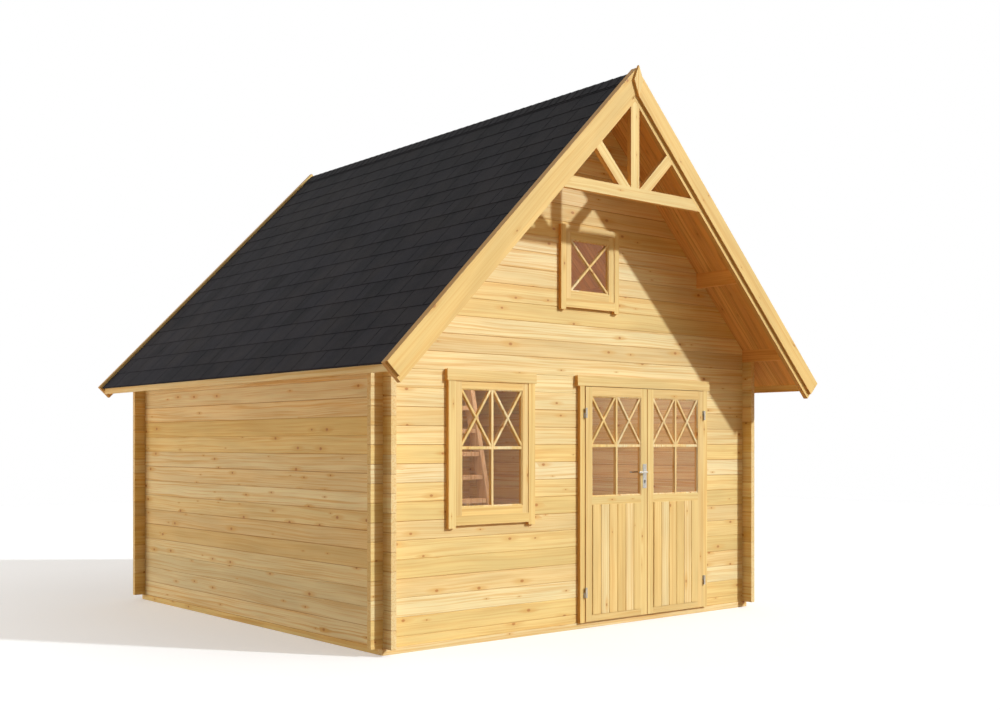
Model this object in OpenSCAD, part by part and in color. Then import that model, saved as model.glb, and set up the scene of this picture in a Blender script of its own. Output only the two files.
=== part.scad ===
// Garden house of interlocking wall planks with crossed corners, a steep
// gable roof with a truss under the deep front overhang, a glazed double
// door, a window, a gable window and a loft.
// X runs along the front, -Y is the front, Z = 0 is the ground.

/* [Walls] */
// Width over the outer faces of the side walls
house_w = 3970; // [3600:10:5200]
// Depth over the outer faces of the front and rear walls
house_d = 4000; // [3000:10:5200]
// Thickness of the wall planks
wall_t = 44; // [34:1:60]
// Height of one wall plank
log_h = 135; // [120:1:150]
// Number of planks in a side wall, the roof-bearing one included
side_logs = 17; // [16:1:19]
// How far the planks run past the crossed corners
log_end = 101; // [60:1:160]
// Bevel on the edges of the planks
log_bevel = 4; // [2:0.5:7]

/* [Base] */
// Height of the sill beams
sill_h = 48; // [40:1:80]
// Width of the sill beams
sill_w = 62; // [60:1:90]
// How far the sill beams stand proud of the wall
sill_proud = 6; // [0:1:10]
// Number of floor joists
joist_count = 7; // [5:1:9]
// Width of a floor joist
joist_w = 58; // [40:1:80]
// Thickness of the floor boards
floor_t = 19; // [16:1:28]

/* [Roof] */
// Pitch of the roof in degrees
roof_pitch = 45.4; // [40:0.1:48]
// Drop of the roof's underside at the outer wall face below the wall top
plate_drop = 72; // [40:1:100]
// Front overhang, from the wall to the face of the barge boards
front_oh = 538; // [400:1:800]
// Rear overhang, from the wall to the face of the barge boards
rear_oh = 266; // [180:1:400]
// Side overhang, from the wall to the tip of the barge boards
eave_oh = 334; // [300:1:450]
// Thickness of the roof boards
deck_t = 19; // [16:1:24]
// Thickness of the shingle covering
shingle_t = 8; // [5:1:12]
// How far the shingles reach past the eave boards
shingle_drip = 20; // [5:1:30]
// Thickness of the ridge shingles
cap_t = 6; // [4:1:10]
// Width of the ridge shingles down each slope
cap_w = 125; // [100:5:200]
// Thickness of the eave boards
eave_board_t = 20; // [16:1:28]
// Height of the eave boards at their outer face
eave_board_h = 65; // [45:1:90]
// How far the eave boards sit in from the tips of the barge boards
eave_board_in = 48; // [30:1:60]

/* [Barge boards] */
// Thickness of the outer barge boards
barge_t = 21; // [18:1:30]
// Width of the outer barge boards
barge_h = 136; // [110:1:170]
// How far the outer barge boards stand above the shingles
barge_proud = 25; // [10:1:40]
// Thickness of the front's inner barge boards and of the truss
inner_barge_t = 40; // [28:1:50]
// How far the front's inner barge boards hang below the outer ones
inner_drop = 43; // [20:1:60]
// How far the front's inner barge boards reach past the outer ones
inner_over = 12; // [0:1:20]
// Joint between the left and right boards at the ridge
ridge_joint = 1; // [0.5:0.5:3]
// Half height of the diamond plate on the joint
diamond_h = 118; // [90:1:130]
// Half width of the diamond plate
diamond_w = 50; // [40:1:70]
// Thickness of the diamond plate
diamond_t = 20; // [12:1:28]
// How far the diamond's top corner stands above the barge boards
diamond_rise = 14; // [0:1:30]

/* [Purlins and truss] */
// Thickness of the purlins
purlin_t = 44; // [34:1:60]
// Distance from the ridge line to the upper face of the mid purlins
mid_purlin_x = 1312; // [1200:1:1400]
// Height of the mid purlins at their upper face
mid_purlin_h = 126; // [90:1:150]
// Height of the ridge purlin at its middle
ridge_purlin_h = 112; // [90:1:150]
// Width of the tie beam and the king post
truss_w = 91; // [80:1:120]
// Width of the struts
strut_w = 86; // [70:1:110]
// Height of the tie beam's underside above the ground
tie_z = 3347; // [3250:1:3450]
// Distance of the struts' feet from the king post
strut_foot = 9; // [0:1:30]

/* [Window] */
// Position of the window's centre, from the middle of the front
window_x = -1013; // [-1050:1:-900]
// Width of the window's glass
glass_w = 588; // [500:1:650]
// Height of the window's glass
glass_h = 871; // [700:1:900]
// Height of the lower edge of the window's glass
glass_z = 1006; // [950:1:1100]
// Width of the gable window's glass
gable_glass_w = 422; // [350:1:480]
// Height of the gable window's glass
gable_glass_h = 408; // [350:1:450]
// Height of the lower edge of the gable window's glass
gable_glass_z = 2677; // [2650:1:2750]
// Width of the sash bars round the glass
sash_w = 58; // [50:1:80]
// Thickness of the sashes and door leaves
sash_t = 40; // [32:1:44]
// Width of the window frame's sides
frame_w = 66; // [50:1:80]
// Width of the gable window frame's sides
gable_frame_w = 52; // [40:1:70]
// Height of the window frames' bottom piece
frame_sill_h = 71; // [50:1:90]
// How far the frames' sides reach below the bottom piece
frame_foot = 20; // [5:1:40]
// How far the frames stand proud of the wall outside
frame_proud = 30; // [20:1:36]
// How far the frames stand proud of the wall inside
frame_inside = 10; // [5:1:20]
// How far a sash sits back from the face of its frame
sash_back = 5; // [3:1:20]
// Thickness of the panes
pane_t = 4; // [3:0.5:8]

/* [Double door] */
// Position of the door's centre, from the middle of the front
door_x = 651; // [600:1:700]
// Clear width between the door jambs
door_w = 1433; // [1300:1:1500]
// Width of the jambs and of the head piece's end
jamb_w = 51; // [35:1:60]
// Clear gap round the door leaves
door_gap = 5; // [5:0.5:8]
// Clear gap between the two leaves
meeting_gap = 7; // [7:0.5:10]
// Height of the underside of the head piece
head_z = 1933; // [1920:1:1950]
// How far the leaves stand proud of the frame
leaf_proud = 6; // [2:1:10]
// Width of the rebate that the leaves close on
stop_w = 12; // [8:1:20]
// Height of the threshold above the sill
threshold_h = 20; // [15:1:30]
// Width of the leaves' stiles
stile_w = 71; // [65:1:95]
// Height of the leaves' top rail
top_rail_h = 73; // [65:1:95]
// Height of the leaves' middle rail
mid_rail_h = 64; // [55:1:90]
// Height of the middle rail's top above the ground
mid_rail_z = 1048; // [950:1:1150]
// Height of the leaves' bottom rail
bottom_rail_h = 55; // [50:1:90]
// Thickness of the boarded lower panels
panel_t = 18; // [14:1:22]
// How far the panels stand proud of the leaf's face
panel_proud = 8; // [3:1:12]

/* [Header boards] */
// Height of the header boards over the door and the window
header_h = 83; // [70:1:100]
// How far the header board reaches past the window frame
window_header_over = 13; // [5:1:50]
// How far the header board reaches past the door frame
door_header_over = 28; // [5:1:50]
// Thickness of the header boards beyond the frames' face
header_t = 4; // [2:1:5]

/* [Door furniture] */
// Radius of the hinge barrels
barrel_r = 9; // [7:0.5:12]
// Height of one hinge
barrel_h = 80; // [60:1:110]
// Heights of the hinge centres above the ground
lower_hinge_z = 287; // [200:1:400]
// Height of the upper hinges' centres above the ground
upper_hinge_z = 1718; // [1600:1:1800]
// Thickness of the hinge flaps
flap_t = 3; // [2:0.5:4]
// Width of the hinge flaps
flap_w = 15; // [13:1:40]
// Width of the handle plates
plate_w = 42; // [32:1:46]
// Height of the handle plates
plate_h = 200; // [160:1:240]
// Thickness of the handle plates
plate_t = 3; // [2:0.5:4]
// Height of the handle plates' centre above the ground
plate_z = 1204; // [1100:1:1250]
// Distance of the handle's spindle from the leaf's edge
spindle_in = 30; // [28:1:45]
// Height of the spindle above the plates' centre
spindle_up = 33; // [20:1:60]
// Radius of the spindle
spindle_r = 4; // [3:0.5:5]
// Length of the lever
lever_l = 95; // [80:1:140]
// Radius of the lever
lever_r = 7; // [6:0.5:10]
// Distance of the lever's middle from its plate
lever_out = 30; // [26:1:50]

/* [Loft] */
// Height of the loft joists' underside above the ground
loft_z = 2100; // [2050:1:2150]
// Height of the loft joists
loft_joist_h = 120; // [90:1:140]
// Width of the loft joists
loft_joist_w = 44; // [34:1:60]
// Number of loft joists
loft_joist_count = 4; // [3:1:5]
// Depth of the loft from the rear wall
loft_d = 1900; // [1500:10:2200]
// Thickness of the loft boards
loft_t = 19; // [16:1:28]
// Position of the ladder's centre, from the middle of the house
ladder_x = 110; // [-200:5:300]
// Width over the ladder's stiles
ladder_w = 450; // [350:5:500]
// Lean of the ladder from the vertical
ladder_lean = 13.5; // [10:0.5:18]
// Depth of the ladder's stiles
ladder_stile_d = 120; // [100:1:140]
// Thickness of the ladder's stiles
ladder_stile_t = 45; // [24:1:50]
// Distance between the ladder's treads, along its lean
tread_pitch = 220; // [200:5:280]
// Depth of the treads
tread_d = 88; // [50:1:90]
// Thickness of the treads
tread_t = 40; // [20:1:45]
// How far the ladder reaches above the loft
ladder_over = 150; // [80:5:300]

/* [Hidden] */
$fn = 48;

wood = "burlywood";
pale_wood = "wheat";
dark_grey = [0.2, 0.2, 0.22];
steel = "silver";

// Running gap of the hinges and the handle
fit_gap = 0.3;
// Gap between pieces that lie against each other on the slope
lay_gap = 0.05;

// Main planes
half_w = house_w / 2;
front_y = -house_d / 2 + (front_oh + diamond_t - rear_oh) / 2;
rear_y = front_y + house_d;
barge_y = front_y - front_oh;
rear_barge_y = rear_y + rear_oh;
truss_y = barge_y + barge_t;
roof_front_y = truss_y + inner_barge_t;
roof_rear_y = rear_barge_y - 2 * barge_t;
reach = 10000;

// Heights of the walls and of the roof's underside; door_logs counts the
// front planks beside the door, the lower half plank included
door_logs = round((head_z - sill_h) / log_h + 1);
wall_top = sill_h + side_logs * log_h;
plate_z0 = sill_h + (side_logs - 1) * log_h;
pitch_tan = tan(roof_pitch);
pitch_sin = sin(roof_pitch);
pitch_cos = cos(roof_pitch);
ridge_z = wall_top - plate_drop + half_w * pitch_tan;
barge_top_n = deck_t + shingle_t + barge_proud;
barge_low_n = barge_top_n - barge_h;
eave_x = half_w + eave_oh;
eave_board_x = eave_x - eave_board_in;
truss_crown = roof_at(0, barge_low_n - inner_drop - lay_gap);
front_logs = ceil((ridge_z - sill_h) / log_h) + 1;
door_top = sill_h + (door_logs - 0.5) * log_h;

// Openings and the pieces that fill them
sash_front_y = front_y - frame_proud + sash_back;
frame_back_y = front_y + wall_t + frame_inside;
leaf_y = front_y - frame_proud - leaf_proud;
leaf_back_y = leaf_y + sash_t;
stop_y = leaf_back_y + door_gap;
leaf_w = (door_w - 2 * door_gap - meeting_gap) / 2;
leaf_z = sill_h + door_gap;
leaf_top = head_z - door_gap;
hinge_y = leaf_y - barrel_r - fit_gap;
hinge_x = door_w / 2 - door_gap / 2;
spindle_z = plate_z + spindle_up;
spindle_x = door_x - meeting_gap / 2 - spindle_in;

// Loft
loft_front_y = rear_y - wall_t - loft_d;
loft_top = loft_z + loft_joist_h + loft_t;
floor_top = sill_h + floor_t;

// A point on the right slope: s across from the ridge on the underside of
// the roof, n square to the slope
function slope(s, n) = [s + n * pitch_sin, ridge_z - s * pitch_tan + n * pitch_cos];
// The height at x of the plane that lies n above the roof's underside
function roof_at(x, n) = ridge_z - abs(x) * pitch_tan + n / pitch_cos;
// Where a height meets the underside of the inner barge boards
function inner_barge_x(z) = (truss_crown - z) / pitch_tan;
// Bottom of the k-th plank of a front or rear wall, and of a side wall
function front_log_z(k) = sill_h + max(0, (k - 0.5) * log_h);
function side_log_z(k) = sill_h + k * log_h;

// A drawing in X and Z made solid between two Y planes
module along_y(y0, y1) {
    translate([0, y1, 0]) rotate([90, 0, 0]) linear_extrude(y1 - y0) children();
}

// A drawing in Y and Z made solid between two X planes
module along_x(x0, x1) {
    translate([x0, 0, 0]) rotate([90, 0, 90]) linear_extrude(x1 - x0) children();
}

module block(x0, x1, y0, y1, z0, z1) {
    translate([x0, y0, z0]) cube([x1 - x0, y1 - y0, z1 - z0]);
}

module both_sides() {
    children();
    mirror([1, 0, 0]) children();
}

// Section of a stack of planks: edges are the heights of the joints
module plank_stack(y0, y1, edges) {
    last = len(edges) - 1;
    function rise(y, inner, k) = [
        [y + inner * log_bevel, edges[k]],
        [y, edges[k] + log_bevel],
        [y, edges[k + 1] - log_bevel],
        [y + inner * log_bevel, edges[k + 1]]];
    front = [for (k = [0 : last - 1]) each rise(y0, 1, k)];
    back = [for (k = [last - 1 : -1 : 0], p = [3 : -1 : 0]) rise(y1, -1, k)[p]];
    polygon(concat(front, back));
}

// The notches that let the crossing planks through; necks is a list of
// heights of the middles of the crossing planks
module corner_notches(x, y, necks) {
    for (z = necks)
        block(x, x + wall_t, y, y + wall_t, z - log_h / 4, z + log_h / 4);
}

module under_roof() {
    along_y(-reach, reach)
        polygon([[0, ridge_z], [reach, roof_at(reach, 0)], [-reach, roof_at(reach, 0)]]);
}

// Planks k0 to k1 of a front or rear wall whose outer face is at y
module cross_wall(y, x0, x1, k0, k1) {
    edges = [for (k = [k0 : k1]) front_log_z(k)];
    necks = [for (k = [0 : side_logs - 1]) side_log_z(k) + log_h / 2];
    low = front_log_z(k0);
    high = front_log_z(k1);
    here = [for (z = necks) if (z + log_h / 4 > low && z - log_h / 4 < high) z];
    difference() {
        intersection() {
            along_x(x0, x1) plank_stack(y, y + wall_t, edges);
            under_roof();
        }
        if (x0 < -half_w) corner_notches(-half_w, y, here);
        if (x1 > half_w) corner_notches(half_w - wall_t, y, here);
    }
}

// A side wall with its outer face at half_w, its top plank left out
module side_wall() {
    edges = [for (k = [0 : side_logs - 1]) side_log_z(k)];
    necks = concat([sill_h], [for (k = [1 : side_logs - 1]) side_log_z(k)]);
    difference() {
        along_y(front_y - log_end, rear_y + log_end)
            plank_stack(half_w - wall_t, half_w, edges);
        corner_notches(half_w - wall_t, front_y, necks);
        corner_notches(half_w - wall_t, rear_y - wall_t, necks);
    }
}

module end_sills() {
    color(wood) {
        block(-half_w - sill_proud, half_w + sill_proud,
            front_y - sill_proud, front_y - sill_proud + sill_w, 0, sill_h);
        block(-half_w - sill_proud, half_w + sill_proud,
            rear_y + sill_proud - sill_w, rear_y + sill_proud, 0, sill_h);
    }
}

module side_sills() {
    color(wood) both_sides()
        block(half_w + sill_proud - sill_w, half_w + sill_proud,
            front_y - sill_proud + sill_w, rear_y + sill_proud - sill_w, 0, sill_h);
}

module floor_joists() {
    y0 = front_y - sill_proud + sill_w;
    pitch = (rear_y + sill_proud - sill_w - y0) / (joist_count + 1);
    color(wood) for (i = [1 : joist_count])
        block(-half_w - sill_proud + sill_w, half_w + sill_proud - sill_w,
            y0 + i * pitch - joist_w / 2, y0 + i * pitch + joist_w / 2, 0, sill_h);
}

module floor_boards() {
    color(pale_wood)
        block(-half_w + wall_t, half_w - wall_t, frame_back_y, rear_y - wall_t,
            sill_h, floor_top);
}

module right_wall() { color(wood) side_wall(); }
module left_wall() { color(wood) mirror([1, 0, 0]) side_wall(); }

module rear_wall() {
    color(wood) cross_wall(rear_y - wall_t, -half_w - log_end, half_w + log_end,
        0, door_logs + 2);
}

module purlin_notches(y) {
    mid_purlin_shape(y, y + wall_t);
    ridge_purlin_shape(y, y + wall_t);
}

module rear_gable() {
    color(wood) difference() {
        cross_wall(rear_y - wall_t, -half_w, half_w, door_logs + 2, front_logs);
        purlin_notches(rear_y - wall_t);
        eave_purlin_shape(rear_y - wall_t, rear_y);
    }
}

module front_wall_left() {
    color(wood) difference() {
        cross_wall(front_y, -half_w - log_end, door_x - door_w / 2 - jamb_w, 0, door_logs);
        window_hole(window_x, frame_half, glass_z, door_top);
    }
}

module front_wall_right() {
    color(wood)
        cross_wall(front_y, door_x + door_w / 2 + jamb_w, half_w + log_end, 0, door_logs);
}

module front_wall_top() {
    color(wood)
        cross_wall(front_y, -half_w - log_end, half_w + log_end, door_logs, door_logs + 2);
}

module front_gable() {
    color(wood) difference() {
        cross_wall(front_y, -half_w, half_w, door_logs + 2, front_logs);
        purlin_notches(front_y);
        eave_purlin_shape(front_y, front_y + wall_t);
        window_hole(0, gable_frame_half, gable_glass_z, gable_frame_top);
    }
}

// The top planks of the side walls run on to carry the roof's overhangs
module eave_purlin_shape(y0, y1) {
    both_sides() intersection() {
        block(half_w - wall_t, half_w, y0, y1, plate_z0, wall_top);
        under_roof();
    }
}

module eave_purlins() {
    neck_low = plate_z0 + log_h / 4;
    color(wood) difference() {
        eave_purlin_shape(roof_front_y, roof_rear_y);
        for (y = [front_y, rear_y - wall_t])
            block(-half_w, half_w, y, y + wall_t, plate_z0, neck_low);
    }
}

module mid_purlin_shape(y0, y1) {
    both_sides() intersection() {
        block(mid_purlin_x, mid_purlin_x + purlin_t, y0, y1,
            roof_at(mid_purlin_x, 0) - mid_purlin_h, ridge_z);
        under_roof();
    }
}

module mid_purlins() { color(wood) mid_purlin_shape(roof_front_y, roof_rear_y); }

module ridge_purlin_shape(y0, y1) {
    intersection() {
        block(-purlin_t / 2, purlin_t / 2, y0, y1,
            ridge_z - ridge_purlin_h, ridge_z);
        under_roof();
    }
}

module ridge_purlin() { color(wood) ridge_purlin_shape(roof_front_y, roof_rear_y); }

// A layer of the right slope, between n0 and n1 above the underside, with
// a plumb cut at x_end
module slope_layer(n0, n1, x_end, y0, y1) {
    along_y(y0, y1) polygon([[0, roof_at(0, n0)], [x_end, roof_at(x_end, n0)],
        [x_end, roof_at(x_end, n1)], [0, roof_at(0, n1)]]);
}

module roof_boards_right() {
    color(wood) slope_layer(0, deck_t, eave_board_x - eave_board_t,
        roof_front_y, roof_rear_y);
}
module roof_boards_left() { mirror([1, 0, 0]) roof_boards_right(); }

module shingles_right() {
    color(dark_grey)
        slope_layer(deck_t + lay_gap, deck_t + shingle_t, eave_board_x + shingle_drip,
            roof_front_y, roof_rear_y);
}
module shingles_left() { mirror([1, 0, 0]) shingles_right(); }

module ridge_cap() {
    low = deck_t + shingle_t + lay_gap;
    foot = cap_w * pitch_cos;
    color(dark_grey) along_y(roof_front_y, roof_rear_y)
        polygon([[-foot, roof_at(foot, low)], [0, roof_at(0, low)],
            [foot, roof_at(foot, low)], [foot, roof_at(foot, low + cap_t)],
            [0, roof_at(0, low + cap_t)], [-foot, roof_at(foot, low + cap_t)]]);
}

module eave_boards() {
    in_x = eave_board_x - eave_board_t;
    top = roof_at(eave_board_x, deck_t);
    color(wood) both_sides() along_y(roof_front_y, roof_rear_y)
        polygon([[in_x, top - eave_board_h], [eave_board_x, top - eave_board_h],
            [eave_board_x, top], [in_x, roof_at(in_x, deck_t)]]);
}

// A barge board on the right slope between n0 and its upper edge, cut plumb
// at the ridge; its other end is cut square, over past the outer boards' tip
module barge(n0, over, y0, y1) {
    n1 = barge_top_n;
    s_end = eave_x - n1 * pitch_sin + over * pitch_cos;
    top = ridge_joint / 2;
    along_y(y0, y1) polygon([[top, roof_at(top, n0)], slope(s_end, n0),
        slope(s_end, n1), [top, roof_at(top, n1)]]);
}

module front_barges() {
    color(pale_wood) both_sides() barge(barge_low_n, 0, barge_y, truss_y);
}

module front_inner_barges() {
    color(pale_wood) both_sides()
        barge(barge_low_n - inner_drop, inner_over, truss_y, roof_front_y);
}

module rear_barges() {
    color(pale_wood) both_sides()
        barge(barge_low_n, 0, rear_barge_y - barge_t, rear_barge_y);
}

module rear_inner_barges() {
    color(pale_wood) both_sides()
        barge(barge_low_n, 0, roof_rear_y, rear_barge_y - barge_t);
}

module apex_diamond() {
    top = roof_at(0, barge_top_n) + diamond_rise;
    color(pale_wood) along_y(barge_y - diamond_t, barge_y)
        polygon([[0, top], [-diamond_w, top - diamond_h],
            [0, top - 2 * diamond_h], [diamond_w, top - diamond_h]]);
}

module tie_beam() {
    top = tie_z + truss_w;
    color(pale_wood) along_y(truss_y, roof_front_y)
        polygon([[-inner_barge_x(tie_z), tie_z], [inner_barge_x(tie_z), tie_z],
            [inner_barge_x(top), top], [-inner_barge_x(top), top]]);
}

module king_post() {
    side = truss_w / 2;
    shoulder = truss_crown - side * pitch_tan;
    color(pale_wood) along_y(truss_y, roof_front_y)
        polygon([[-side, tie_z + truss_w], [side, tie_z + truss_w], [side, shoulder],
            [0, truss_crown], [-side, shoulder]]);
}

// The struts rise at 45 degrees from the foot of the king post to the
// barge boards
module truss_struts() {
    top = tie_z + truss_w;
    foot = truss_w / 2 + strut_foot;
    wide = strut_w * sqrt(2);
    function meet(x0) = (truss_crown - top + x0) / (1 + pitch_tan);
    color(pale_wood) both_sides() along_y(truss_y, roof_front_y)
        polygon([[foot, top], [foot + wide, top],
            [meet(foot + wide), truss_crown - meet(foot + wide) * pitch_tan],
            [meet(foot), truss_crown - meet(foot) * pitch_tan]]);
}

// A window: the glass is w wide with its lower edge at z, and the frame
// fills the hole in the wall
function frame_bottom(z) = z - sash_w - frame_sill_h;
frame_half = glass_w / 2 + sash_w + frame_w;
gable_frame_half = gable_glass_w / 2 + sash_w + gable_frame_w;
gable_frame_top = gable_glass_z + gable_glass_h + sash_w + gable_frame_w;

module window_hole(x, half, z, top) {
    block(x - half, x + half, front_y - 1, front_y + wall_t + 1, frame_bottom(z), top);
}

// Outside the wall the frame's sides reach down past its bottom piece
module window_frame(x, half, side, z, h, top) {
    in_w = half - side;
    difference() {
        union() {
            block(x - half, x + half, front_y - frame_proud, frame_back_y,
                frame_bottom(z), top);
            for (foot = [x - half, x + in_w])
                block(foot, foot + side, front_y - frame_proud, front_y,
                    frame_bottom(z) - frame_foot, top);
        }
        block(x - in_w, x + in_w, front_y - reach, frame_back_y + 1,
            z - sash_w, z + h + sash_w);
    }
}

module window_sash(x, w, h, z) {
    difference() {
        block(x - w / 2 - sash_w, x + w / 2 + sash_w, sash_front_y, sash_front_y + sash_t,
            z - sash_w, z + h + sash_w);
        block(x - w / 2, x + w / 2, sash_front_y - 1, sash_front_y + sash_t + 1, z, z + h);
    }
}

module window_pane(x, w, h, z) {
    y = sash_front_y + (sash_t - pane_t) / 2;
    block(x - w / 2, x + w / 2, y, y + pane_t, z, z + h);
}

module window_frames() {
    color(pale_wood) {
        window_frame(window_x, frame_half, frame_w, glass_z, glass_h, door_top);
        window_frame(0, gable_frame_half, gable_frame_w, gable_glass_z, gable_glass_h,
            gable_frame_top);
    }
}

module window_sashes() {
    color(pale_wood) {
        window_sash(window_x, glass_w, glass_h, glass_z);
        window_sash(0, gable_glass_w, gable_glass_h, gable_glass_z);
    }
}

module window_panes() {
    color("lightblue") {
        window_pane(window_x, glass_w, glass_h, glass_z);
        window_pane(0, gable_glass_w, gable_glass_h, gable_glass_z);
    }
}

// The header boards hook over the faces of the frames
module header(x, half, over) {
    face = front_y - frame_proud;
    block(x - half - over, x + half + over, face - header_t, face,
        head_z, head_z + header_h);
    for (x0 = [x - half - over, x + half])
        block(x0, x0 + over, face, front_y, head_z, head_z + header_h);
}

module header_boards() {
    color(pale_wood) {
        header(window_x, frame_half, window_header_over);
        header(door_x, door_w / 2 + jamb_w, door_header_over);
    }
}

module door_frame() {
    out = door_w / 2 + jamb_w;
    rebate = door_w / 2 - stop_w;
    color(pale_wood) difference() {
        block(door_x - out, door_x + out, front_y - frame_proud, frame_back_y,
            sill_h, door_top);
        block(door_x - door_w / 2, door_x + door_w / 2, front_y - reach, stop_y,
            sill_h - 1, head_z);
        block(door_x - rebate, door_x + rebate, stop_y - 1, frame_back_y + 1,
            sill_h + threshold_h, head_z - stop_w);
    }
}

// The left leaf is drawn in its place; the right leaf is its mirror image
// about the middle of the door
module right_leaf() {
    translate([door_x, 0, 0]) mirror([1, 0, 0]) translate([-door_x, 0, 0]) children();
}

leaf_x0 = door_x - door_w / 2 + door_gap;
leaf_x1 = leaf_x0 + leaf_w;

module leaf() {
    difference() {
        block(leaf_x0, leaf_x1, leaf_y, leaf_back_y, leaf_z, leaf_top);
        block(leaf_x0 + stile_w, leaf_x1 - stile_w, leaf_y - 1, leaf_back_y + 1,
            mid_rail_z, leaf_top - top_rail_h);
        block(leaf_x0 + stile_w, leaf_x1 - stile_w, leaf_y - 1, leaf_back_y + 1,
            leaf_z + bottom_rail_h, mid_rail_z - mid_rail_h);
    }
}

module leaf_panel() {
    block(leaf_x0 + stile_w, leaf_x1 - stile_w, leaf_y - panel_proud,
        leaf_y - panel_proud + panel_t, leaf_z + bottom_rail_h, mid_rail_z - mid_rail_h);
}

module leaf_pane() {
    y = leaf_y + (sash_t - pane_t) / 2;
    block(leaf_x0 + stile_w, leaf_x1 - stile_w, y, y + pane_t,
        mid_rail_z, leaf_top - top_rail_h);
}

module spindle_hole() {
    past = 2 * plate_t;
    translate([spindle_x, leaf_back_y + past, spindle_z]) rotate([90, 0, 0])
        cylinder(r = spindle_r + fit_gap, h = sash_t + 2 * past);
}

module left_door_leaf() {
    color(pale_wood) difference() {
        leaf();
        spindle_hole();
    }
}
module right_door_leaf() { color(pale_wood) right_leaf() leaf(); }
module left_door_panel() { color(wood) leaf_panel(); }
module right_door_panel() { color(wood) right_leaf() leaf_panel(); }
module left_door_pane() { color("lightblue") leaf_pane(); }
module right_door_pane() { color("lightblue") right_leaf() leaf_pane(); }

// The upper half of each hinge is on the leaf, the lower half on the frame
module leaf_hinge(z) {
    x = door_x - hinge_x;
    top = z + barrel_h / 2;
    translate([x, hinge_y, z + fit_gap]) cylinder(r = barrel_r, h = barrel_h / 2 - fit_gap);
    block(x, x + flap_w, leaf_y - flap_t, leaf_y, z + fit_gap, top);
}

module frame_hinge(z) {
    x = door_x - hinge_x;
    face = front_y - frame_proud;
    low = z - barrel_h / 2;
    translate([x, hinge_y, low]) cylinder(r = barrel_r, h = barrel_h / 2);
    block(x - barrel_r, x - door_gap / 2, hinge_y, face, low, z);
    block(x - flap_w, x - door_gap / 2, face - flap_t, face, low, z);
}

module left_door_hinges() {
    color(steel) for (z = [lower_hinge_z, upper_hinge_z]) leaf_hinge(z);
}
module right_door_hinges() {
    color(steel) right_leaf() for (z = [lower_hinge_z, upper_hinge_z]) leaf_hinge(z);
}
module frame_hinges() {
    color(steel) for (z = [lower_hinge_z, upper_hinge_z]) {
        frame_hinge(z);
        right_leaf() frame_hinge(z);
    }
}

module handle_plates() {
    color(steel) difference() {
        for (y = [leaf_y - plate_t, leaf_back_y])
            block(spindle_x - plate_w / 2, spindle_x + plate_w / 2, y, y + plate_t,
                plate_z - plate_h / 2, plate_z + plate_h / 2);
        spindle_hole();
    }
}

// Levers on both faces, joined by the spindle
module lever(y) {
    translate([spindle_x - lever_l, y, spindle_z]) rotate([0, 90, 0])
        cylinder(r = lever_r, h = lever_l);
    translate([spindle_x, y, spindle_z]) sphere(r = lever_r);
    translate([spindle_x - lever_l, y, spindle_z]) sphere(r = lever_r);
}

module door_handle() {
    outer_y = leaf_y - plate_t - lever_out;
    inner_y = leaf_back_y + plate_t + lever_out;
    neck = lever_out - fit_gap;
    color(steel) {
        lever(outer_y);
        lever(inner_y);
        translate([spindle_x, inner_y, spindle_z]) rotate([90, 0, 0])
            cylinder(r = spindle_r, h = inner_y - outer_y);
        translate([spindle_x, outer_y + neck, spindle_z]) rotate([90, 0, 0])
            cylinder(r = lever_r, h = neck);
        translate([spindle_x, inner_y, spindle_z]) rotate([90, 0, 0])
            cylinder(r = lever_r, h = neck);
    }
}

module loft_joists() {
    pitch = (loft_d - loft_joist_w) / (loft_joist_count - 1);
    color(wood) for (i = [0 : loft_joist_count - 1])
        block(-half_w + wall_t, half_w - wall_t, loft_front_y + i * pitch,
            loft_front_y + i * pitch + loft_joist_w, loft_z, loft_z + loft_joist_h);
}

module loft_boards() {
    color(pale_wood)
        block(-half_w + wall_t, half_w - wall_t, loft_front_y, rear_y - wall_t,
            loft_z + loft_joist_h, loft_top);
}

// The ladder leans on the upper edge of the loft; its feet are cut level and
// its treads lie level
module ladder() {
    long = (loft_top - floor_top) / cos(ladder_lean);
    treads = round(long / tread_pitch) - 1;
    tread_w = ladder_w - ladder_stile_t;
    color(wood) intersection() {
        translate([ladder_x, loft_front_y, loft_top]) rotate([-ladder_lean, 0, 0])
            union() {
                for (side = [-1, 1])
                    translate([side * (ladder_w - ladder_stile_t) / 2 - ladder_stile_t / 2,
                            -ladder_stile_d, -long - ladder_stile_d])
                        cube([ladder_stile_t, ladder_stile_d,
                            long + ladder_stile_d + ladder_over]);
                for (i = [1 : treads])
                    translate([0, -ladder_stile_d / 2, -i * tread_pitch])
                        rotate([ladder_lean, 0, 0]) translate([0, 0, -tread_t / 2])
                            cube([tread_w, tread_d, tread_t], center = true);
            }
        block(-reach, reach, -reach, reach, floor_top, reach);
    }
}

end_sills();
side_sills();
floor_joists();
floor_boards();
left_wall();
right_wall();
rear_wall();
rear_gable();
front_wall_left();
front_wall_right();
front_wall_top();
front_gable();
eave_purlins();
mid_purlins();
ridge_purlin();
roof_boards_left();
roof_boards_right();
shingles_left();
shingles_right();
ridge_cap();
eave_boards();
front_barges();
front_inner_barges();
rear_barges();
rear_inner_barges();
apex_diamond();
tie_beam();
king_post();
truss_struts();
window_frames();
window_sashes();
window_panes();
header_boards();
door_frame();
left_door_leaf();
left_door_panel();
left_door_pane();
right_door_leaf();
right_door_panel();
right_door_pane();
left_door_hinges();
right_door_hinges();
frame_hinges();
handle_plates();
door_handle();
loft_joists();
loft_boards();
ladder();
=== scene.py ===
import math

import bmesh
import bpy
from mathutils import Matrix, Vector


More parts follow.
